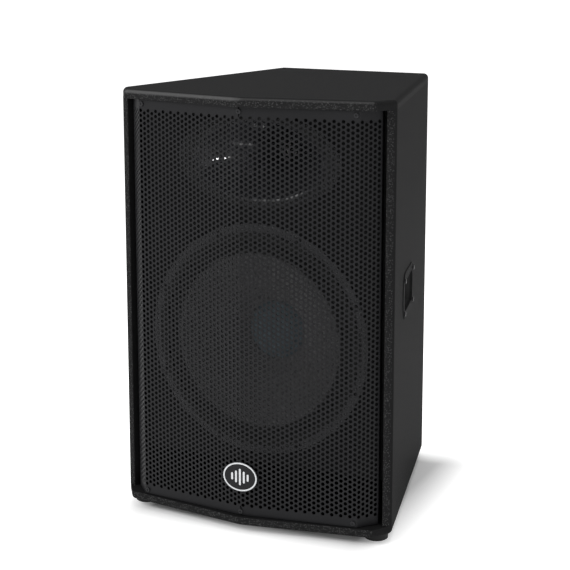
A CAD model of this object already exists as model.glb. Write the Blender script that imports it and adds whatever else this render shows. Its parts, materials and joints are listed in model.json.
import json
import math

import bpy
import numpy as np
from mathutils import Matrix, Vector


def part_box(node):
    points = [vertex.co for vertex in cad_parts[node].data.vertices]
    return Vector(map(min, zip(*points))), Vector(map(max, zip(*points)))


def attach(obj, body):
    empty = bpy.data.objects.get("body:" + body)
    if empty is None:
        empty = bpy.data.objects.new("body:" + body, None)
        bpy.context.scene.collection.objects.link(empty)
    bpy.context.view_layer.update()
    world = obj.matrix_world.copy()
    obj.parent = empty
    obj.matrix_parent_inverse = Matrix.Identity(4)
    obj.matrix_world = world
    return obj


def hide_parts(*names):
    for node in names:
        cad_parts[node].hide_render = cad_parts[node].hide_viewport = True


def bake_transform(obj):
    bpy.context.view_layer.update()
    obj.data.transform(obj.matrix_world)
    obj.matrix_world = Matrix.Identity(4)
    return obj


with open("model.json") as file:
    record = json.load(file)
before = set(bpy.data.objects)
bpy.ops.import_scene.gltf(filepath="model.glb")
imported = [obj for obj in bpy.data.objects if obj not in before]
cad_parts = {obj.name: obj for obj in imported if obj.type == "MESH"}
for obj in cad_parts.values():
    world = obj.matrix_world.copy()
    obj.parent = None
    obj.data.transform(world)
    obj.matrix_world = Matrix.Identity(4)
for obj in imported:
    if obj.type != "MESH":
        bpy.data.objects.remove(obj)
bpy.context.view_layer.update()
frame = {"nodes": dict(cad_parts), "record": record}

# Looks of a passive two-way loudspeaker cabinet.
# Metres, +Z up, the front faces -Y, X = 0 is the plane of symmetry.
nodes = frame["nodes"]
MM = 0.001

# how brightly the floor glows under the cabinet and away from it, the half size of the dim patch there,
# and the distance round that patch over which the glow rises
NEAR_GLOW = 0.05
FAR_GLOW = 0.80
DIM_PATCH = (0.185, 0.200, 1.0)
SHADOW_REACH = 0.085

CABINET = "cabinet"
WOOFER_CONE = "woofer_cone_unit"


def centre_of(node):
    low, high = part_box(node)
    return (low + high) / 2


# ---------------------------------------------------------------- procedural materials
# radians that the wave texture turns through per metre at a scale of 1
WAVE_RATE = 20.0


class Finish:
    """One procedural material, with short-hands for its texture nodes; lengths are in metres."""

    def __init__(self, name, **sockets):
        self.material = bpy.data.materials.new(name)
        self.material.use_nodes = True
        self.tree = self.material.node_tree
        self.shader = self.tree.nodes["Principled BSDF"]
        self.place = self.tree.nodes.new("ShaderNodeTexCoord").outputs["Object"]
        self.normal = None
        for label, value in sockets.items():
            self.shader.inputs[label.replace("_", " ")].default_value = value

    def add(self, kind, inputs, **settings):
        node = self.tree.nodes.new("ShaderNode" + kind)
        for label, value in settings.items():
            setattr(node, label, value)
        for label, value in inputs.items():
            if isinstance(value, bpy.types.NodeSocket):
                self.tree.links.new(value, node.inputs[label])
            else:
                node.inputs[label].default_value = value
        return node

    def stretched(self, x, y, z):
        """Object coordinates with their axes scaled, for grain that runs one way."""
        return self.add("Mapping", {"Vector": self.place, "Scale": (x, y, z)}).outputs[0]

    def noise(self, size, detail=3.0, place=None, warp=0.0):
        inputs = {"Vector": place or self.place, "Scale": 1 / size, "Detail": detail, "Distortion": warp}
        return self.add("TexNoise", inputs).outputs["Fac"]

    def cells(self, size, place=None, edge=False):
        """Cell pattern: the distance to each cell's middle, or to its edge."""
        inputs = {"Vector": place or self.place, "Scale": 1 / size}
        feature = "DISTANCE_TO_EDGE" if edge else "F1"
        return self.add("TexVoronoi", inputs, feature=feature).outputs["Distance"]

    def bands(self, size, direction, warp=0.0):
        """Regular bands, size apart."""
        inputs = {"Vector": self.place, "Scale": math.tau / size / WAVE_RATE, "Distortion": warp}
        return self.add("TexWave", inputs, bands_direction=direction).outputs["Fac"]

    def part(self, value, low, high, to_low=0.0, to_high=1.0):
        """The value between low and high, spread over another range and clamped."""
        inputs = {"Value": value, "From Min": low, "From Max": high, "To Min": to_low, "To Max": to_high}
        return self.add("MapRange", inputs, clamp=True).outputs[0]

    def both(self, a, b, operation="MULTIPLY"):
        return self.add("Math", {0: a, 1: b}, operation=operation).outputs[0]

    def mix(self, share, a, b):
        """Colour a where share is 0 and b where it is 1."""
        node = self.tree.nodes.new("ShaderNodeMix")
        node.data_type = "RGBA"
        for socket, value in ((node.inputs[0], share), (node.inputs[6], a), (node.inputs[7], b)):
            if isinstance(value, bpy.types.NodeSocket):
                self.tree.links.new(value, socket)
            else:
                socket.default_value = (*value, 1.0) if isinstance(value, tuple) else value
        return node.outputs[2]

    def colour(self, socket):
        self.tree.links.new(socket, self.shader.inputs["Base Color"])

    def rough(self, value, smooth, coarse):
        self.tree.links.new(self.part(value, 0.0, 1.0, smooth, coarse), self.shader.inputs["Roughness"])

    def bump(self, height, depth, strength=1.0):
        """Adds relief of that depth on top of what is there."""
        inputs = {"Height": height, "Distance": depth, "Strength": strength}
        if self.normal is not None:
            inputs["Normal"] = self.normal
        self.normal = self.add("Bump", inputs).outputs[0]
        self.tree.links.new(self.normal, self.shader.inputs["Normal"])

    def facing(self, direction, low=0.6, high=0.8):
        """1 where the surface faces a direction of the frame, and 0 elsewhere."""
        normal = self.tree.nodes.new("ShaderNodeNewGeometry").outputs["True Normal"]
        dot = self.add("VectorMath", {0: normal, 1: direction}, operation="DOT_PRODUCT").outputs["Value"]
        return self.part(dot, low, high)

    def behind(self, y, to_front=0.0, to_back=1.0):
        """One value in front of a plane across the cabinet, and another behind it."""
        depth = self.add("SeparateXYZ", {0: self.place}).outputs["Y"]
        return self.part(depth, y - MM, y + MM, to_front, to_back)


PLY_DARK = (0.36, 0.23, 0.12)
PLY_LIGHT = (0.62, 0.45, 0.27)
BAFFLE_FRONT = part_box("front_baffle")[0].y

# faces inside the box are nearly black behind the grille, and bare wood between two planes further back
SLOT_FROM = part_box("front_grille")[1].y
SLOT_BLACK = (0.0030, 0.0030, 0.0030)
BARE_FROM = 60 * MM
BARE_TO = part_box("rear_panel")[0].y + 2 * MM

# paint rubbed lighter on forward faces and on the upper front edge, and the direction that edge faces
RUBBED = (0.110, 0.110, 0.110)
RUBBED_EDGE = (-0.30, -0.75, 0.59)

# taper of the sides: half width lost over depth
HANDLE_SLOPE = 97.0 / 423.0


def cabinet_paint(name, inward, dark=0.0094, light=0.0198, shine=0.012, glint=0.4):
    """Textured black paint outside, near black in the slot port, and raw birch plywood deeper inside.

    inward is the direction that the board's inner face looks, and glint how much rubbed paint shows.
    """
    f = Finish(name, Roughness=0.6, Specular_IOR_Level=shine)
    pebble = f.cells(1.9 * MM)
    grain = f.noise(0.8 * MM, 4.0)
    patch = f.noise(45 * MM, 2.0)
    fleck = f.both(f.part(grain, 0.35, 0.75), f.part(patch, 0.2, 0.8, 0.85, 1.0))
    paint = f.mix(fleck, (dark, dark, dark * 1.02), (light, light, light * 1.02))
    crests = f.both(f.part(f.cells(2.6 * MM), 0.12, 0.42, 1.0, 0.0), f.part(grain, 0.3, 0.6))
    paint = f.mix(f.both(f.both(f.facing((0, -1, 0)), crests), glint), paint, RUBBED)
    edge = f.both(f.facing(RUBBED_EDGE, 0.86, 0.98), f.part(grain, 0.2, 0.6, 0.5, 1.0))
    paint = f.mix(f.both(edge, glint), paint, RUBBED)
    inside = f.facing(inward)
    paint = f.mix(f.both(inside, f.behind(SLOT_FROM)), paint, SLOT_BLACK)
    wood_grain = f.noise(3 * MM, 5.0, f.stretched(1.0, 0.12, 0.06), 0.4)
    wood = f.mix(f.part(wood_grain, 0.3, 0.7), PLY_DARK, PLY_LIGHT)
    bare = f.both(inside, f.both(f.behind(BARE_FROM), f.behind(BARE_TO, 1.0, 0.0)))
    f.colour(f.mix(bare, paint, wood))
    f.rough(f.both(bare, f.part(grain, 0.2, 0.8, 0.0, 0.5), "ADD"), 0.60, 0.85)
    f.bump(pebble, 0.40 * MM, 0.5)
    f.bump(grain, 0.25 * MM, 0.5)
    return f.material


def bare_wood():
    f = Finish("bare_wood", Roughness=0.75, Specular_IOR_Level=0.3)
    grain = f.noise(4 * MM, 5.0, f.stretched(0.1, 1.0, 1.0), 0.6)
    ply = f.bands(2.4 * MM, "Z", 1.5)
    tone = f.both(f.part(grain, 0.3, 0.7), f.part(ply, 0.0, 1.0, 0.75, 1.0))
    f.colour(f.mix(tone, PLY_DARK, PLY_LIGHT))
    f.rough(grain, 0.6, 0.85)
    f.bump(grain, 0.2 * MM, 0.5)
    return f.material


def grille_steel():
    """Satin powder coat: a faint orange peel with a fine mottle."""
    f = Finish("grille_steel", Specular_IOR_Level=0.18)
    peel = f.noise(1.1 * MM, 3.0)
    cloud = f.noise(90 * MM, 3.0)
    f.colour(f.mix(f.part(cloud, 0.3, 0.7), (0.0054, 0.0054, 0.0063), (0.0070, 0.0070, 0.0081)))
    f.rough(peel, 0.42, 0.56)
    f.bump(peel, 0.05 * MM, 0.6)
    return f.material


def black_screws():
    f = Finish("black_screws", Metallic=0.3, Specular_IOR_Level=0.2)
    grain = f.noise(0.7 * MM, 4.0)
    f.colour(f.mix(f.part(grain, 0.3, 0.7), (0.013, 0.013, 0.014), (0.032, 0.032, 0.034)))
    f.rough(grain, 0.34, 0.52)
    f.bump(grain, 0.04 * MM, 0.5)
    return f.material


def badge_black():
    """Satin lacquer with the faintest orange peel."""
    f = Finish("badge_black", Specular_IOR_Level=0.16)
    peel = f.noise(2.5 * MM, 2.0)
    f.colour(f.mix(f.part(peel, 0.3, 0.7), (0.005, 0.005, 0.006), (0.010, 0.010, 0.011)))
    f.rough(peel, 0.28, 0.38)
    f.bump(peel, 0.03 * MM, 0.4)
    return f.material


def badge_silver():
    """Satin plated trim, brushed lightly across."""
    f = Finish("badge_silver", Metallic=0.9, Specular_IOR_Level=0.5)
    brush = f.noise(0.5 * MM, 4.0, f.stretched(0.15, 1.0, 1.0))
    f.colour(f.mix(f.part(brush, 0.3, 0.7), (0.42, 0.43, 0.44), (0.62, 0.63, 0.64)))
    f.rough(brush, 0.26, 0.40)
    f.bump(brush, 0.02 * MM, 0.4)
    return f.material


def cast_frame():
    """Cast aluminium frame under matt black enamel."""
    f = Finish("cast_frame", Metallic=0.15, Specular_IOR_Level=0.45)
    cast = f.noise(1.6 * MM, 4.0)
    pits = f.cells(3.2 * MM)
    f.colour(f.mix(f.part(cast, 0.3, 0.7), (0.030, 0.030, 0.032), (0.060, 0.060, 0.064)))
    f.rough(cast, 0.42, 0.60)
    f.bump(cast, 0.20 * MM, 0.6)
    f.bump(pits, 0.10 * MM, 0.3)
    return f.material


def rubber():
    f = Finish("rubber", Specular_IOR_Level=0.35)
    skin = f.noise(0.8 * MM, 4.0)
    dust = f.noise(14 * MM, 3.0)
    f.colour(f.mix(f.part(dust, 0.4, 0.8), (0.006, 0.006, 0.006), (0.014, 0.014, 0.014)))
    f.rough(skin, 0.62, 0.82)
    f.bump(skin, 0.10 * MM, 0.5)
    return f.material


# radii between which the surround changes from its pale glued lip to plain cloth
LIP_FROM = 145.4 * MM
LIP_TO = 146.0 * MM


def treated_cloth():
    """Doped woven cloth: two crossing yarn directions, pale with paper where it is glued over the cone."""
    f = Finish("treated_cloth", Specular_IOR_Level=0.25, Sheen_Weight=0.1)
    warp = f.bands(0.9 * MM, "X")
    weft = f.bands(0.9 * MM, "Z")
    weave = f.both(f.both(warp, weft, "MAXIMUM"), f.noise(3 * MM, 3.0))
    cloth = f.mix(f.part(weave, 0.1, 0.6), (0.003, 0.003, 0.003), (0.008, 0.008, 0.009))
    middle = centre_of("woofer_dust_cap")
    from_axis = f.add("VectorMath", {0: f.place, 1: middle}, operation="SUBTRACT").outputs[0]
    from_axis = f.add("VectorMath", {0: from_axis, 1: (1.0, 0.0, 1.0)}, operation="MULTIPLY").outputs[0]
    radius = f.add("VectorMath", {0: from_axis}, operation="LENGTH").outputs["Value"]
    # the spider wears this cloth too, further back, and has no lip
    in_front = f.behind(BAFFLE_FRONT + 60 * MM, 1.0, 0.0)
    glued_lip = f.both(f.part(radius, LIP_TO, LIP_FROM), in_front)
    f.colour(f.mix(glued_lip, cloth, (0.072, 0.072, 0.074)))
    f.rough(weave, 0.55, 0.75)
    f.bump(weave, 0.15 * MM, 0.7)
    return f.material


def paper_pulp(name, dark, light):
    """Moulded paper: matted fibres with lighter ones on the surface."""
    f = Finish(name, Specular_IOR_Level=0.3, Sheen_Weight=0.2)
    fibres = f.noise(1.6 * MM, 6.0, f.stretched(1.0, 1.0, 0.35), 2.5)
    lumps = f.noise(7 * MM, 3.0)
    f.colour(f.mix(f.both(f.part(fibres, 0.35, 0.7), f.part(lumps, 0.2, 0.8, 0.6, 1.0)), dark, light))
    f.rough(fibres, 0.62, 0.85)
    f.bump(fibres, 0.22 * MM, 0.7)
    f.bump(lumps, 0.30 * MM, 0.3)
    return f.material


def coil_former():
    f = Finish("coil_former", Specular_IOR_Level=0.5)
    film = f.noise(5 * MM, 3.0)
    f.colour(f.mix(f.part(film, 0.3, 0.7), (0.42, 0.20, 0.045), (0.58, 0.30, 0.08)))
    f.rough(film, 0.28, 0.42)
    f.bump(film, 0.05 * MM, 0.3)
    return f.material


def copper():
    """Enamelled copper wire in close turns."""
    f = Finish("copper", Metallic=0.9, Specular_IOR_Level=0.5)
    turns = f.bands(0.6 * MM, "Y")
    tone = f.noise(8 * MM, 2.0)
    f.colour(f.mix(f.part(tone, 0.3, 0.7), (0.50, 0.17, 0.06), (0.72, 0.30, 0.12)))
    f.rough(turns, 0.25, 0.40)
    f.bump(turns, 0.25 * MM, 0.9)
    return f.material


def plated_steel():
    """Zinc-plated steel with its bluish spangle and turning marks."""
    f = Finish("plated_steel", Metallic=0.95, Specular_IOR_Level=0.5)
    spangle = f.cells(4 * MM)
    turned = f.noise(0.6 * MM, 3.0, f.stretched(1.0, 0.2, 1.0))
    f.colour(f.mix(f.part(spangle, 0.1, 0.7), (0.42, 0.44, 0.47), (0.62, 0.63, 0.64)))
    f.rough(turned, 0.28, 0.46)
    f.bump(turned, 0.03 * MM, 0.5)
    return f.material


def ferrite():
    f = Finish("ferrite", Metallic=0.1, Specular_IOR_Level=0.5)
    sinter = f.noise(1.2 * MM, 5.0)
    f.colour(f.mix(f.part(sinter, 0.3, 0.7), (0.018, 0.018, 0.020), (0.050, 0.050, 0.055)))
    f.rough(sinter, 0.45, 0.68)
    f.bump(sinter, 0.12 * MM, 0.5)
    return f.material


def black_plastic():
    """Moulded plastic with a fine spark-eroded texture and a slight sheen."""
    f = Finish("black_plastic", Specular_IOR_Level=0.5)
    spark = f.noise(0.7 * MM, 3.0)
    flow = f.noise(40 * MM, 2.0)
    f.colour(f.mix(f.part(flow, 0.3, 0.7), (0.010, 0.010, 0.011), (0.017, 0.017, 0.018)))
    f.rough(spark, 0.30, 0.44)
    f.bump(spark, 0.05 * MM, 0.5)
    return f.material


def horn_plastic():
    """Moulded plastic of the horn: a polished bowl behind a matt flange."""
    f = Finish("horn_plastic", Specular_IOR_Level=0.42)
    flow = f.noise(30 * MM, 2.0)
    skin = f.noise(2.0 * MM, 2.0)
    bowl = f.mix(f.part(flow, 0.3, 0.7), (0.0220, 0.0222, 0.0246), (0.0290, 0.0293, 0.0322))
    flange = f.behind(BAFFLE_FRONT - 3 * MM, 1.0, 0.0)
    f.colour(f.mix(flange, bowl, (0.0055, 0.0055, 0.0058)))
    f.rough(f.both(flange, f.part(skin, 0.0, 1.0, 0.0, 0.04), "ADD"), 0.09, 0.71)
    f.bump(skin, 0.02 * MM, 0.3)
    return f.material


def handle_plastic():
    """Dull pebbled plastic: the rim matches the paint round it, and the pocket is a little lighter."""
    f = Finish("handle_plastic", Specular_IOR_Level=0.012)
    pebble = f.cells(1.2 * MM)
    spark = f.noise(0.6 * MM, 3.0)
    rim = f.mix(f.part(spark, 0.3, 0.7), (0.0095, 0.0095, 0.0098), (0.0175, 0.0175, 0.0178))
    place = f.add("SeparateXYZ", {0: f.place}).outputs
    across = f.add("Math", {0: place["X"]}, operation="ABSOLUTE").outputs[0]
    low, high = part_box("right_handle_cup")
    outward = f.both(across, f.both(place["Y"], HANDLE_SLOPE), "ADD")
    rim_level = high.x + low.y * HANDLE_SLOPE
    pocket = f.part(outward, rim_level - 6 * MM, rim_level - 3 * MM, 1.0, 0.0)
    f.colour(f.mix(pocket, rim, (0.032, 0.032, 0.032)))
    f.rough(spark, 0.55, 0.75)
    f.bump(pebble, 0.20 * MM, 0.5)
    return f.material


def diaphragm_film():
    """Thin formed metal diaphragm."""
    f = Finish("diaphragm_film", Metallic=0.9, Specular_IOR_Level=0.5)
    pressed = f.noise(1.0 * MM, 3.0)
    f.colour(f.mix(f.part(pressed, 0.3, 0.7), (0.46, 0.45, 0.43), (0.60, 0.59, 0.57)))
    f.rough(pressed, 0.26, 0.40)
    f.bump(pressed, 0.03 * MM, 0.5)
    return f.material


def painted_plate():
    f = Finish("painted_plate", Metallic=0.2, Specular_IOR_Level=0.45)
    texture = f.cells(0.9 * MM)
    mottle = f.noise(20 * MM, 3.0)
    f.colour(f.mix(f.part(mottle, 0.3, 0.7), (0.016, 0.016, 0.017), (0.028, 0.028, 0.030)))
    f.rough(texture, 0.42, 0.62)
    f.bump(texture, 0.10 * MM, 0.6)
    return f.material


def circuit_board():
    """Glass-fibre board: green mask over copper areas, with a faint weave."""
    f = Finish("circuit_board", Specular_IOR_Level=0.5)
    areas = f.part(f.cells(26 * MM, edge=True), 0.06, 0.09)
    weave = f.both(f.bands(1.2 * MM, "X"), f.bands(1.2 * MM, "Z"), "ADD")
    f.colour(f.mix(areas, (0.010, 0.070, 0.030), (0.018, 0.150, 0.060)))
    f.rough(weave, 0.28, 0.40)
    f.bump(f.both(areas, f.part(weave, 0.0, 2.0, 0.0, 0.3), "ADD"), 0.08 * MM, 0.6)
    return f.material


def capacitor_film():
    f = Finish("capacitor_film", Specular_IOR_Level=0.5)
    wrap = f.noise(12 * MM, 3.0)
    f.colour(f.mix(f.part(wrap, 0.3, 0.7), (0.34, 0.22, 0.03), (0.50, 0.34, 0.06)))
    f.rough(wrap, 0.26, 0.42)
    f.bump(wrap, 0.10 * MM, 0.4)
    return f.material


def ceramic():
    f = Finish("ceramic", Specular_IOR_Level=0.4)
    pores = f.noise(0.8 * MM, 5.0)
    f.colour(f.mix(f.part(pores, 0.3, 0.7), (0.58, 0.56, 0.52), (0.76, 0.75, 0.71)))
    f.rough(pores, 0.60, 0.80)
    f.bump(pores, 0.15 * MM, 0.6)
    return f.material


def felt():
    """Grey recycled-fibre felt with coloured flecks."""
    f = Finish("felt", Specular_IOR_Level=0.2, Sheen_Weight=0.4)
    fibres = f.noise(1.4 * MM, 7.0, warp=3.0)
    flecks = f.part(f.noise(5 * MM, 3.0), 0.58, 0.66)
    wool = f.mix(f.part(fibres, 0.3, 0.7), (0.10, 0.10, 0.105), (0.26, 0.26, 0.27))
    f.colour(f.mix(flecks, wool, (0.20, 0.15, 0.11)))
    f.rough(fibres, 0.85, 0.98)
    f.bump(fibres, 0.8 * MM, 0.8)
    return f.material


def cable_jacket():
    f = Finish("cable_jacket", Specular_IOR_Level=0.4)
    skin = f.noise(1.5 * MM, 3.0)
    tone = f.noise(30 * MM, 2.0)
    f.colour(f.mix(f.part(tone, 0.3, 0.7), (0.020, 0.020, 0.022), (0.035, 0.035, 0.037)))
    f.rough(skin, 0.40, 0.55)
    f.bump(skin, 0.05 * MM, 0.5)
    return f.material


def glue():
    """Black rubbery adhesive bead."""
    f = Finish("glue", Specular_IOR_Level=0.5)
    lumps = f.noise(4 * MM, 2.0)
    f.colour(f.mix(f.part(lumps, 0.3, 0.7), (0.008, 0.008, 0.009), (0.016, 0.016, 0.017)))
    f.rough(lumps, 0.25, 0.40)
    f.bump(lumps, 0.5 * MM, 0.5)
    return f.material


def pale_floor():
    """Plain pale studio floor."""
    f = Finish("pale_floor", Roughness=0.9, Specular_IOR_Level=0.1)
    cloud = f.noise(0.8, 2.0)
    f.colour(f.mix(cloud, (0.80, 0.80, 0.80), (0.82, 0.82, 0.82)))
    f.shader.inputs["Emission Color"].default_value = (1.0, 1.0, 1.0, 1.0)
    aside = f.add("VectorMath", {0: f.place}, operation="ABSOLUTE").outputs[0]
    aside = f.add("VectorMath", {0: aside, 1: DIM_PATCH}, operation="SUBTRACT").outputs[0]
    aside = f.add("VectorMath", {0: aside, 1: (0.0, 0.0, 0.0)}, operation="MAXIMUM").outputs[0]
    away = f.add("VectorMath", {0: aside}, operation="LENGTH").outputs["Value"]
    glow = f.part(away, 0.0, SHADOW_REACH, NEAR_GLOW, FAR_GLOW)
    f.tree.links.new(glow, f.shader.inputs["Emission Strength"])
    return f.material


paper_cone = paper_pulp("paper_cone", (0.054, 0.054, 0.056), (0.112, 0.112, 0.116))
paper_cap = paper_pulp("paper_cap", (0.044, 0.062, 0.072), (0.096, 0.128, 0.146))
slot_materials = {
    "bare_wood": bare_wood(),
    "grille_steel": grille_steel(),
    "black_screws": black_screws(),
    "badge_black": badge_black(),
    "badge_silver": badge_silver(),
    "cast_frame": cast_frame(),
    "rubber": rubber(),
    "treated_cloth": treated_cloth(),
    "paper_pulp": paper_cone,
    "coil_former": coil_former(),
    "copper": copper(),
    "plated_steel": plated_steel(),
    "ferrite": ferrite(),
    "black_plastic": black_plastic(),
    "diaphragm_film": diaphragm_film(),
    "painted_plate": painted_plate(),
    "circuit_board": circuit_board(),
    "capacitor_film": capacitor_film(),
    "ceramic": ceramic(),
    "felt": felt(),
    "cable_jacket": cable_jacket(),
}
INWARD = {
    "right_side_panel": (-1, 0, 0),
    "left_side_panel": (1, 0, 0),
    "bottom_panel": (0, 0, 1),
    "rear_panel": (0, -1, 0),
}
BAFFLE_PAINT = {"dark": 0.0110, "light": 0.0200, "shine": 0.02, "glint": 0.0}
SLOT_PAINT = {"dark": 0.0015, "light": 0.0035, "shine": 0.01, "glint": 0.0}
TOP_PAINT = {"dark": 0.0098, "light": 0.0205, "shine": 0.022, "glint": 0.7}
handle_finish = handle_plastic()
node_materials = {
    "front_baffle": cabinet_paint("front_baffle_paint", (0, 1, 0), **BAFFLE_PAINT),
    "grille_cleats": cabinet_paint("grille_cleats_paint", (0, 1, 0), **SLOT_PAINT),
    "port_shelf": cabinet_paint("port_shelf_paint", (0, 0, 1), **SLOT_PAINT),
    "horn_flare": horn_plastic(),
    "left_handle_cup": handle_finish,
    "right_handle_cup": handle_finish,
}
for node, inward in INWARD.items():
    glint = 0.9 if node == "bottom_panel" else 0.7
    node_materials[node] = cabinet_paint(node + "_paint", inward, glint=glint)
node_materials["top_panel"] = cabinet_paint("top_panel_paint", (0, 0, -1), **TOP_PAINT)


def dress(piece, material):
    piece.data.materials.clear()
    piece.data.materials.append(material)


for part in frame["record"]["subparts"]:
    node = part["node"]
    dress(nodes[node], node_materials.get(node) or slot_materials[part["material_slot"]])


# ---------------------------------------------------------------- mesh helpers
# smooth shading stops at edges that turn by more than this many degrees
SHARP_ANGLE = 35.0


def mesh_piece(name, points, faces, material, smooth=None):
    """A mesh object; smooth is one flag for all faces or one flag per face."""
    mesh = bpy.data.meshes.new(name)
    mesh.from_pydata([tuple(p) for p in points], [], faces)
    flags = smooth if isinstance(smooth, list) else [bool(smooth)] * len(faces)
    mesh.polygons.foreach_set("use_smooth", flags)
    mesh.validate()
    mesh.update()
    piece = bpy.data.objects.new(name, mesh)
    bpy.context.scene.collection.objects.link(piece)
    dress(piece, material)
    return piece


def turned(name, profile, axis, material, steps=96, first=0.0, sweep=360.0, wobble=None):
    """Turned about an axis along Y: a closed profile of (radius, depth behind the axis point) in metres.

    A sweep under 360 degrees makes a closed wedge. wobble(radius, depth, angle) may move a point of it.
    """
    whole = sweep > 359.9
    rows = steps if whole else steps + 1
    count = len(profile)
    points = []
    for i in range(rows):
        angle = math.radians(first + sweep * i / steps)
        for r, a in profile:
            if wobble:
                r, a = wobble(r, a, angle)
            points.append((axis.x + r * math.cos(angle), axis.y + a, axis.z + r * math.sin(angle)))
    faces = []
    for i in range(steps):
        j = (i + 1) % rows
        for k in range(count):
            after = (k + 1) % count
            faces.append((i * count + k, i * count + after, j * count + after, j * count + k))
    smooth = [True] * len(faces)
    if not whole:
        faces.append(tuple(range(count))[::-1])
        faces.append(tuple(range((rows - 1) * count, rows * count)))
        smooth += [False, False]
    piece = mesh_piece(name, points, faces, material, smooth)
    piece.data.set_sharp_from_angle(angle=math.radians(SHARP_ANGLE))
    return piece


def shell(line, thickness):
    """Closed profile of a thin sheet from its front line of (radius, depth) points."""
    line = np.array(line)
    along = np.gradient(line, axis=0)
    along /= np.linalg.norm(along, axis=1)[:, None]
    normal = np.stack([-along[:, 1], along[:, 0]], axis=1)
    if normal[:, 1].mean() < 0:
        normal = -normal
    back = line + normal * thickness
    return [tuple(p) for p in line] + [tuple(p) for p in back[::-1]]


def curve_through(points, per_span=5):
    """Smooth line through a few (radius, depth) points, as a Catmull-Rom spline."""
    p = np.array([points[0], *points, points[-1]], float)
    line = []
    for i in range(1, len(p) - 2):
        for t in np.linspace(0, 1, per_span, endpoint=False):
            line.append(
                0.5
                * (
                    2 * p[i]
                    + (p[i + 1] - p[i - 1]) * t
                    + (2 * p[i - 1] - 5 * p[i] + 4 * p[i + 1] - p[i + 2]) * t**2
                    + (3 * p[i] - p[i - 1] - 3 * p[i + 1] + p[i + 2]) * t**3
                )
            )
    line.append(p[-2])
    return line


def in_metres(points):
    return [(r * MM, a * MM) for r, a in points]


def stands_for(piece, body, slot, *replaced):
    """The piece rides on a body, takes a slot's finish and takes the place of CAD nodes."""
    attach(piece, body)
    if replaced:
        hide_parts(*replaced)


# ---------------------------------------------------------------- camera
# place in metres, angles in degrees, lens in millimetres, and the frame's shift
CAMERA_PLACE = (1.0685, -2.4333, 0.9835)
CAMERA_YAW = 24.2572
CAMERA_PITCH = 11.0923
CAMERA_LENS = 99.864
CAMERA_RISE = -0.1

camera_data = bpy.data.cameras.new("camera")
camera_data.lens = CAMERA_LENS
camera_data.sensor_width = 36.0
camera_data.shift_y = CAMERA_RISE
camera_data.clip_end = 60.0
camera = bpy.data.objects.new("camera", camera_data)
camera.location = CAMERA_PLACE
camera.rotation_euler = (math.radians(90 - CAMERA_PITCH), 0.0, math.radians(CAMERA_YAW))
bpy.context.scene.collection.objects.link(camera)
bpy.context.scene.camera = camera
bpy.context.scene.view_settings.view_transform = "Standard"


# ---------------------------------------------------------------- perforated grille
SHEET = 1.5 * MM
GRILLE_RIDGE = -237.3 * MM
FACET_END = (192.3 * MM, -210.9 * MM)
CHEEK_END = (218.0 * MM, -182.2 * MM)
RETURN_END = (214.5 * MM, -163.5 * MM)
COLUMN = 7.465 * MM
ROW = 8.34 * MM
HOLE_RADIUS = 2.95 * MM
HOLE_ROWS = 77
HOLE_COLUMNS = 31
HOLE_SIDES = 12
FOLD_RADIUS = 3.0 * MM
# edges shorter than the first are left out of the sheet, and strips narrower than the second
NO_LENGTH = 1e-9
SLIVER = 1e-6

grille_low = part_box("front_grille")[0].z
grille_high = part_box("front_grille")[1].z
fold_line = [Vector((0, GRILLE_RIDGE)), Vector(FACET_END), Vector(CHEEK_END), Vector(RETURN_END)]


def folded(u, back):
    """Plan point of the folded sheet, u along it from the ridge and back behind its front face."""
    side = 1 if u >= 0 else -1
    u = abs(u)
    walked = 0.0
    for i in range(3):
        a, b = fold_line[i], fold_line[i + 1]
        length = (b - a).length
        if u <= walked + length or i == 2:
            along = (b - a) / length
            normal = Vector((-along.y, along.x))
            here = a + along * (u - walked)
            if i < 2 and u > walked + length - FOLD_RADIUS:
                share = 0.5 * (u - walked - length + FOLD_RADIUS) / FOLD_RADIUS
                ahead = (fold_line[i + 2] - b).normalized()
                normal = normal.lerp(Vector((-ahead.y, ahead.x)), share).normalized()
            if i > 0 and u < walked + FOLD_RADIUS:
                share = 0.5 * (walked + FOLD_RADIUS - u) / FOLD_RADIUS
                before = (a - fold_line[i - 1]).normalized()
                normal = normal.lerp(Vector((-before.y, before.x)), share).normalized()
            return side * (here.x + normal.x * back), here.y + normal.y * back
        walked += length


class Sheet:
    """Collects the front, the back and the walls of a folded sheet, drawn flat as polygons of (u, height)."""

    def __init__(self):
        self.points = []
        self.index = {}
        self.faces = []
        self.smooth = []

    def point(self, u, height, back):
        """Number of a corner; corners within a tenth of a micrometre are one."""
        key = (round(u * 1e7), round(height * 1e7), back)
        if key not in self.index:
            x, y = folded(u, SHEET if back else 0.0)
            self.index[key] = len(self.points)
            self.points.append((x, y, height))
        return self.index[key]

    def plate(self, outline):
        """One polygon on the front and the same on the back."""
        self.faces.append(tuple(self.point(u, h, False) for u, h in outline))
        self.faces.append(tuple(self.point(u, h, True) for u, h in reversed(outline)))
        self.smooth += [False, False]

    def wall(self, start, stop, smooth=False):
        """Wall through the sheet along one edge of a plate, with the plate on its left."""
        front = [self.point(*start, False), self.point(*stop, False)]
        back = [self.point(*stop, True), self.point(*start, True)]
        self.faces.append((front[1], front[0], back[1], back[0]))
        self.smooth.append(smooth)


# corners of the hexagonal cell round each hole, in a lattice of columns staggered by half a row
cell_x_near = (COLUMN**2 - ROW**2 / 4) / (2 * COLUMN)
cell_x_far = (COLUMN**2 + ROW**2 / 4) / (2 * COLUMN)
CELL = [
    (cell_x_far, 0.0),
    (cell_x_near, ROW / 2),
    (-cell_x_near, ROW / 2),
    (-cell_x_far, 0.0),
    (-cell_x_near, -ROW / 2),
    (cell_x_near, -ROW / 2),
]
first_row = (grille_low + grille_high) / 2 - (HOLE_ROWS - 1) / 2 * ROW
grille_width = sum((fold_line[i + 1] - fold_line[i]).length for i in range(3))


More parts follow.
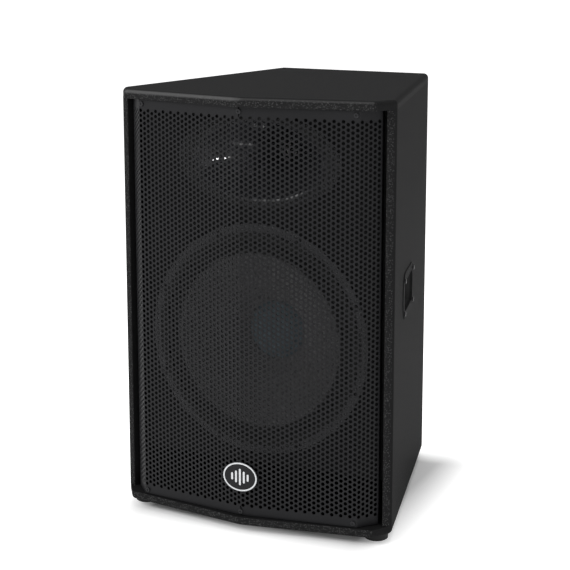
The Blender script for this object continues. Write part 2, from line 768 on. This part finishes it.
def grille_half(name, columns):
    """Half of the grille, with its holes: columns is the range of hole columns on its side of the ridge."""
    sheet = Sheet()
    low_line = []
    high_line = []
    for column in columns:
        u = (column + 0.5) * COLUMN
        odd = column % 2
        rows = HOLE_ROWS - odd
        for row in range(rows):
            height = first_row + (row + odd / 2) * ROW
            rim = []
            for k in range(HOLE_SIDES):
                angle = math.tau * k / HOLE_SIDES
                rim.append((u + HOLE_RADIUS * math.cos(angle), height + HOLE_RADIUS * math.sin(angle)))
            corners = [(u + dx, height + dz) for dx, dz in CELL]
            for k in range(6):
                inner = [rim[(2 * k + step) % HOLE_SIDES] for step in (2, 1, 0)]
                sheet.plate([corners[k], corners[(k + 1) % 6], *inner])
            for k in range(HOLE_SIDES):
                sheet.wall(rim[(k + 1) % HOLE_SIDES], rim[k], smooth=True)
        bottom = first_row + (odd / 2 - 0.5) * ROW
        top = first_row + (rows - 0.5 + odd / 2) * ROW
        low_line += [(u - cell_x_near, bottom), (u + cell_x_near, bottom)]
        high_line += [(u - cell_x_near, top), (u + cell_x_near, top)]
    border(sheet, columns, low_line, high_line)
    return mesh_piece(name, sheet.points, sheet.faces, slot_materials["grille_steel"], sheet.smooth)


def border(sheet, columns, low_line, high_line):
    """Plain borders above and below the holes, the solid flange at the outer end and the cut edges."""
    right = columns[0] >= 0
    flange = grille_width if right else -grille_width
    outer = side_edge(columns[-1] if right else columns[0], 1 if right else -1)
    inner = side_edge(columns[0] if right else columns[-1], -1 if right else 1)
    for line, level, flip in ((low_line, grille_low, True), (high_line, grille_high, False)):
        for start, stop in zip(line, line[1:]):
            outline = [start, stop, (stop[0], level), (start[0], level)]
            sheet.plate(outline[::-1] if flip else outline)
            ends = ((start[0], level), (stop[0], level))
            sheet.wall(*(ends if flip else ends[::-1]))
    turn = 1 if right else -1
    levels = [grille_low] + [h for _, h in outer] + [grille_high]
    us = [outer[0][0]] + [u for u, _ in outer] + [outer[-1][0]]
    stops = [turn * s for s in flange_stops(abs(max(us, key=abs)))]
    for (u0, h0), (u1, h1) in zip(zip(us, levels), zip(us[1:], levels[1:])):
        if abs(h1 - h0) < NO_LENGTH:
            continue
        outline = [(u0, h0), (stops[0], h0), (stops[0], h1), (u1, h1)]
        sheet.plate(outline if right else outline[::-1])
        for a, b in zip(stops, stops[1:]):
            outline = [(a, h0), (b, h0), (b, h1), (a, h1)]
            sheet.plate(outline if right else outline[::-1])
        sheet.wall(*(((flange, h0), (flange, h1)) if right else ((flange, h1), (flange, h0))))
    runs = [us[0], *stops]
    for level, flip in ((grille_low, False), (grille_high, True)):
        for a, b in zip(runs, runs[1:]):
            ends = ((a, level), (b, level))
            sheet.wall(*(ends if flip != right else ends[::-1]))
    inner_path = [(inner[0][0], grille_low), *inner, (inner[-1][0], grille_high)]
    for start, stop in zip(inner_path, inner_path[1:]):
        if abs(start[1] - stop[1]) > NO_LENGTH:
            sheet.wall(*((stop, start) if right else (start, stop)))


def side_edge(column, side):
    """Zigzag line of cell corners down one side of a column of holes."""
    u = (column + 0.5) * COLUMN
    odd = column % 2
    line = [(u + side * cell_x_near, first_row + (odd / 2 - 0.5) * ROW)]
    for row in range(HOLE_ROWS - odd):
        height = first_row + (row + odd / 2) * ROW
        line.append((u + side * cell_x_far, height))
        line.append((u + side * cell_x_near, height + ROW / 2))
    return line


def flange_stops(start):
    """Places along the plain outer strip where it is divided, so that it follows the last fold."""
    fold = (fold_line[1] - fold_line[0]).length + (fold_line[2] - fold_line[1]).length
    stops = [fold - FOLD_RADIUS / 2, fold, fold + FOLD_RADIUS / 2, grille_width]
    return [s for s in stops if s > start + SLIVER]


for half_name, half_columns in (
    ("grille_right_half", range(0, HOLE_COLUMNS)),
    ("grille_left_half", range(-HOLE_COLUMNS, 0)),
):
    stands_for(grille_half(half_name, half_columns), CABINET, "grille_steel", "front_grille")


# ---------------------------------------------------------------- cone, dust cap, surrounds and spider
woofer_axis = Vector((0, BAFFLE_FRONT, centre_of("woofer_dust_cap").z))
CONE_STEPS = 180
CONE_THICKNESS = 1.5 * MM
CONE_RIM = (142.8 * MM, -5.9 * MM)
CONE_SHOULDER = (136.0 * MM, -5.9 * MM)
CONE_NECK = (38.7 * MM, 80.0 * MM)
CONE_FLARE = 0.035
CONE_RIBS = (127.0, 119.0, 111.0, 88.0, 80.0, 72.0)
RIB_WIDTH = 2.6
RIB_HEIGHT = 0.9 * MM


def cone_line():
    """Front line of the cone: a flat lip, a slightly flared body with pressed ribs, and the neck."""
    line = [CONE_RIM, (139.0 * MM, -5.9 * MM)]
    slant = 90
    for i in range(slant + 1):
        share = i / slant
        flared = share - CONE_FLARE * math.sin(math.pi * share)
        radius = CONE_SHOULDER[0] + (CONE_NECK[0] - CONE_SHOULDER[0]) * share
        depth = CONE_SHOULDER[1] + (CONE_NECK[1] - CONE_SHOULDER[1]) * flared
        for rib in CONE_RIBS:
            depth -= RIB_HEIGHT * math.exp(-(((radius / MM - rib) / RIB_WIDTH) ** 2))
        line.append((radius, depth))
    line.append((CONE_NECK[0], CONE_NECK[1] + 3.5 * MM))
    return line


cone = turned("woofer_paper_cone", shell(cone_line(), CONE_THICKNESS), woofer_axis, paper_cone, CONE_STEPS)
stands_for(cone, WOOFER_CONE, "paper_pulp", "woofer_cone")

cap_low, cap_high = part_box("woofer_dust_cap")
CAP_RADIUS = (cap_high.x - cap_low.x) / 2
cap_base = cap_high.y - woofer_axis.y
cap_rise = cap_high.y - cap_low.y


def dust_cap_line():
    """Dome with a pressed rim and a shallow ring near its edge."""
    line = [(0.02 * MM, cap_base - cap_rise)]
    for i in range(1, 41):
        radius = CAP_RADIUS * i / 40
        share = radius / CAP_RADIUS
        depth = cap_base - cap_rise * (1 - share**2) ** 0.92
        depth += 0.7 * MM * math.exp(-(((share - 0.84) / 0.035) ** 2))
        line.append((radius, depth))
    return line


dust_cap = turned("woofer_pressed_dust_cap", shell(dust_cap_line(), 0.9 * MM), woofer_axis, paper_cap, 120)
stands_for(dust_cap, WOOFER_CONE, "paper_pulp", "woofer_dust_cap")


def bead_profile(radius, depth, half_width, sides=10):
    """Round profile of a glue bead."""
    angles = [math.tau * k / sides for k in range(sides)]
    return [(radius + half_width * math.cos(a), depth + half_width * math.sin(a)) for a in angles]


def bead_wobble(r, a, angle):
    """A bead laid by hand: its line wanders slightly and closes on itself."""
    return r + 0.25 * MM * math.sin(7 * angle) + 0.15 * MM * math.sin(17 * angle + 1.0), a


glue_material = glue()
bead = bead_profile(CAP_RADIUS + 0.3 * MM, cap_base - 0.3 * MM, 1.5 * MM)
cap_bead = turned("dust_cap_glue_bead", bead, woofer_axis, glue_material, 120, wobble=bead_wobble)
stands_for(cap_bead, WOOFER_CONE, "rubber")

SURROUND_POINTS = in_metres(
    [
        (137.2, -7.2),
        (143.2, -7.3),
        (145.4, -9.9),
        (148.3, -12.3),
        (151.6, -10.6),
        (153.5, -8.4),
        (155.4, -10.6),
        (158.7, -12.3),
        (161.8, -9.9),
        (164.2, -7.3),
        (170.0, -7.2),
        (178.3, -7.2),
    ]
)
SPIDER_POINTS = in_metres(
    [
        (38.7, 88.8),
        (46.0, 88.8),
        (51.0, 86.0),
        (57.0, 91.6),
        (63.0, 86.0),
        (69.0, 91.6),
        (75.0, 86.0),
        (81.0, 88.8),
        (92.0, 88.8),
        (102.8, 88.8),
    ]
)
HF_SURROUND_POINTS = in_metres(
    [
        (21.4, 147.0),
        (23.0, 146.2),
        (25.0, 145.9),
        (27.0, 146.3),
        (28.8, 147.0),
        (31.8, 147.0),
    ]
)


def flexing_ring(node, points, thickness, axis, wedges, slot):
    """A flexible ring in wedges, each bending between cabinet and moving body along its own radius."""
    profile = shell(curve_through(points), thickness)
    sweep = 360.0 / wedges
    for i in range(wedges):
        first = i * sweep
        name = f"{node}_{i + 1:02d}"
        wedge = turned(name, profile, axis, slot_materials[slot], 6, first, sweep)
        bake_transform(wedge)
        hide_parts(node)


flexing_ring(
    "woofer_surround",
    SURROUND_POINTS,
    1.1 * MM,
    woofer_axis,
    wedges=24,
    slot="treated_cloth",
)
flexing_ring(
    "woofer_spider",
    SPIDER_POINTS,
    1.0 * MM,
    woofer_axis,
    wedges=16,
    slot="treated_cloth",
)
horn_axis = Vector((0, woofer_axis.y, centre_of("hf_diaphragm").z))
flexing_ring(
    "hf_surround",
    HF_SURROUND_POINTS,
    0.45 * MM,
    horn_axis,
    wedges=12,
    slot="diaphragm_film",
)


# ---------------------------------------------------------------- damping felt
FELT_LUMP = 1.4 * MM
FELT_STEP = 12 * MM
FELT_THICKNESS = 20 * MM
FELT_GAP = 0.1 * MM


def lump(x, y, z):
    """Smooth unevenness of laid felt, the same each run, between -1 and 1."""
    return (
        math.sin(x * 41 + 1.3) * math.cos(y * 37 + 0.4) * 0.5
        + math.sin(z * 33 + x * 18) * 0.3
        + math.cos(y * 71 - z * 57 + 2.1) * 0.2
    )


def felt_pad(name, outline, axis_low, axis_high, upright):
    """Felt slab over a four-cornered outline, with soft rounded edges and an uneven free face."""
    a, b, c, d = [Vector(p) for p in outline]
    across = max(4, round((b - a).length / FELT_STEP))
    along = max(4, round((d - a).length / FELT_STEP))
    thickness = axis_high - axis_low
    points = []
    for layer in (0, 1):
        for j in range(along + 1):
            for i in range(across + 1):
                s, t = i / across, j / along
                p = (a * (1 - s) + b * s) * (1 - t) + (d * (1 - s) + c * s) * t
                edge = min(i, across - i, j, along - j) * FELT_STEP
                soft = 1 - math.exp(-edge / (6 * MM)) * 0.45
                x, y = p
                level = axis_high
                if layer == 0:
                    level = axis_high - thickness * soft + FELT_LUMP * (1 + lump(x, y, level)) * 0.5
                points.append((x, level, y) if upright else (x, y, level))
    faces = []
    size = (across + 1) * (along + 1)
    for j in range(along):
        for i in range(across):
            k = j * (across + 1) + i
            quad = (k, k + 1, k + across + 2, k + across + 1)
            faces.append(quad if upright else quad[::-1])
            back = tuple(q + size for q in quad)
            faces.append(back[::-1] if upright else back)
    rim = list(range(across + 1))
    rim += [j * (across + 1) + across for j in range(1, along + 1)]
    rim += [along * (across + 1) + i for i in range(across - 1, -1, -1)]
    rim += [j * (across + 1) for j in range(along - 1, 0, -1)]
    for k, here in enumerate(rim):
        there = rim[(k + 1) % len(rim)]
        quad = (there, here, here + size, there + size)
        faces.append(quad if upright else quad[::-1])
    piece = mesh_piece(name, points, faces, slot_materials["felt"], True)
    stands_for(piece, CABINET, "felt", "damping_felt")


felt_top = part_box("damping_felt")[1].z
REAR_FELT_HALF = 105.4 * MM
REAR_FELT_LOW = 277.6 * MM
REAR_FELT_HIGH = 656.4 * MM
rear_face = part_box("rear_panel")[0].y
felt_pad(
    "rear_felt_pad",
    [
        (-REAR_FELT_HALF, REAR_FELT_LOW),
        (REAR_FELT_HALF, REAR_FELT_LOW),
        (REAR_FELT_HALF, REAR_FELT_HIGH),
        (-REAR_FELT_HALF, REAR_FELT_HIGH),
    ],
    rear_face - FELT_THICKNESS,
    rear_face - FELT_GAP,
    upright=True,
)
TOP_FELT_FRONT = -120.5 * MM
TOP_FELT_BACK = 126.5 * MM
TOP_FELT_FRONT_HALF = 198.8 * MM
TOP_FELT_BACK_HALF = 142.2 * MM
felt_pad(
    "top_felt_pad",
    [
        (-TOP_FELT_FRONT_HALF, TOP_FELT_FRONT),
        (TOP_FELT_FRONT_HALF, TOP_FELT_FRONT),
        (TOP_FELT_BACK_HALF, TOP_FELT_BACK),
        (-TOP_FELT_BACK_HALF, TOP_FELT_BACK),
    ],
    felt_top - FELT_THICKNESS,
    felt_top - FELT_GAP,
    upright=False,
)


# ---------------------------------------------------------------- floor and studio light
def studio_floor():
    """Large pale floor, divided so that it isn't one plain quad."""
    half, steps = 40.0, 16
    points = []
    for j in range(steps + 1):
        for i in range(steps + 1):
            points.append((half * (2 * i / steps - 1), half * (2 * j / steps - 1), 0.0))
    faces = []
    for j in range(steps):
        for i in range(steps):
            k = j * (steps + 1) + i
            faces.append((k, k + 1, k + steps + 2, k + steps + 1))
    floor = mesh_piece("studio_floor", points, faces, pale_floor())


def softbox(name, place, target, size, watts, spread=180):
    """Area light aimed at a point, with its beam's full angle in degrees."""
    light = bpy.data.lights.new(name, "AREA")
    light.shape = "RECTANGLE"
    light.size, light.size_y = size
    light.energy = watts
    light.spread = math.radians(spread)
    lamp = bpy.data.objects.new(name, light)
    lamp.location = place
    lamp.rotation_euler = (Vector(target) - Vector(place)).to_track_quat("-Z", "Y").to_euler()
    bpy.context.scene.collection.objects.link(lamp)
    return lamp


# brightness of the even sky all round
SKY = 0.45
studio_floor()
world = bpy.data.worlds.new("studio")
world.use_nodes = True
world.node_tree.nodes["Background"].inputs["Color"].default_value = (1.0, 1.0, 1.0, 1.0)
world.node_tree.nodes["Background"].inputs["Strength"].default_value = SKY
bpy.context.scene.world = world
softbox("key", (-2.2, -2.6, 2.6), (0, 0, 0.4), (1.6, 1.6), 85.0)
softbox("overhead", (0.0, 0.6, 3.2), (0, 0, 0.5), (2.4, 2.4), 40.0)
softbox("fill", (2.4, -2.4, 1.5), (0, 0, 0.35), (1.2, 1.2), 12.0)
strip = softbox("strip", (1.77, -1.01, 0.87), (-0.08, -0.14, 0.60), (0.42, 0.19), 1.3, spread=24)
# the strip light draws the highlight in the polished horn, and lights nothing else
lit_by_strip = bpy.data.collections.new("lit_by_strip")
lit_by_strip.objects.link(nodes["horn_flare"])
strip.light_linking.receiver_collection = lit_by_strip
